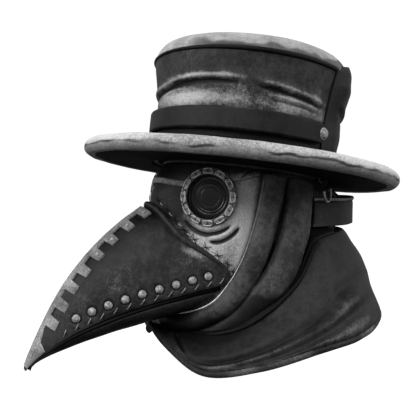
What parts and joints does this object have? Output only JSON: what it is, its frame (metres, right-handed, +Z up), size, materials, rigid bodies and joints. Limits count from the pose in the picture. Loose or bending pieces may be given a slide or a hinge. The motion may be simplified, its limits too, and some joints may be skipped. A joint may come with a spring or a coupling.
{
  "type": "plague doctor mask",
  "caption": "Beaked leather mask with round eye windows, a rolled hood, a short shoulder cape, head straps and a flared, flat-topped hat with a rolled brim.",
  "frame": {"origin": "middle of the wearer's head, level with the eyes", "axes": "+Z up, the beak points along -Y, the wearer's left is +X"},
  "size_m": [0.325, 0.3822, 0.3146],
  "materials": {
    "brim_leather": "dark waxed leather, matt",
    "rim_leather": "grey leather worn pale along its top edge",
    "crown_leather": "mottled dark grey leather worn pale low down",
    "crown_back_leather": "smooth dark leather",
    "tip_leather": "light grey leather, soft sheen",
    "black_piping": "black leather piping",
    "band_leather": "dark leather band, satin",
    "lining_leather": "soft lining leather",
    "face_leather": "pale worn leather, satin",
    "brow_leather": "smooth dark leather",
    "beak_leather": "mottled grey leather, satin",
    "dark_beak_leather": "dark leather, satin",
    "pale_leather": "pale worn leather with stitching",
    "rivet_metal": "domed nickel heads, worn",
    "black_metal": "black enamel",
    "clip_metal": "plain steel",
    "hood_leather": "soft grey leather, matt",
    "cape_leather": "dark soft leather, matt",
    "strap_leather": "strap leather, satin",
    "ring_metal": "nickel wire, worn",
    "lens_glass": "smoked glass"
  },
  "bodies": {
    "mask": {"face_panel": "face_leather", "brow_panel": "brow_leather", "brow_strip": "face_leather", "beak_left": "beak_leather", "beak_right": "beak_leather", "beak_ridge_plate": "pale_leather", "beak_rear_roll": "beak_leather", "beak_lower": "dark_beak_leather", "beak_mouth_welt": "black_piping", "beak_rivets_left": "rivet_metal", "beak_rivets_right": "rivet_metal", "ridge_rivets": "rivet_metal", "eye_ring_left": "pale_leather", "eye_ring_right": "pale_leather", "eye_cup_left": "black_metal", "eye_cup_right": "black_metal", "eye_lens_left": "lens_glass", "eye_lens_right": "lens_glass", "lens_clip_left": "clip_metal", "lens_clip_right": "clip_metal", "hood_back": "hood_leather", "hood_cap": "hood_leather", "hood_inner_roll": "hood_leather", "hood_outer_roll": "hood_leather", "face_piping": "pale_leather", "cape": "cape_leather", "cape_hem": "cape_leather", "cape_piping": "black_piping", "head_strap": "strap_leather", "crown_strap": "strap_leather", "ring_tab_left": "strap_leather", "ring_tab_right": "strap_leather"},
    "hat": {"hat_brim": "brim_leather", "hat_brim_binding": "rim_leather", "hat_crown_front": "crown_leather", "hat_crown_back": "crown_back_leather", "hat_crown_tip": "tip_leather", "hat_tip_piping": "black_piping", "hat_seam_piping_left": "black_piping", "hat_seam_piping_right": "black_piping", "hat_band": "band_leather", "hat_band_studs": "rivet_metal", "hat_sweatband": "lining_leather"},
    "ring_left": {"d_ring_left": "ring_metal"},
    "ring_right": {"d_ring_right": "ring_metal"}
  },
  "joints": [
    {"name": "hat_lift", "type": "slide", "parent": "mask", "child": "hat", "axis": [0, 0.1132, 0.9936], "range_m": [0, 0.16]},
    {"name": "ring_left_swing", "type": "hinge", "parent": "mask", "child": "ring_left", "pos_m": [0.0848, 0.044, 0.0095], "axis": [0.4353, -0.8187, -0.3746], "range_deg": [0, 70]},
    {"name": "ring_right_swing", "type": "hinge", "parent": "mask", "child": "ring_right", "pos_m": [-0.0848, 0.044, 0.0095], "axis": [0.4353, 0.8187, 0.3746], "range_deg": [0, 70]}
  ]
}
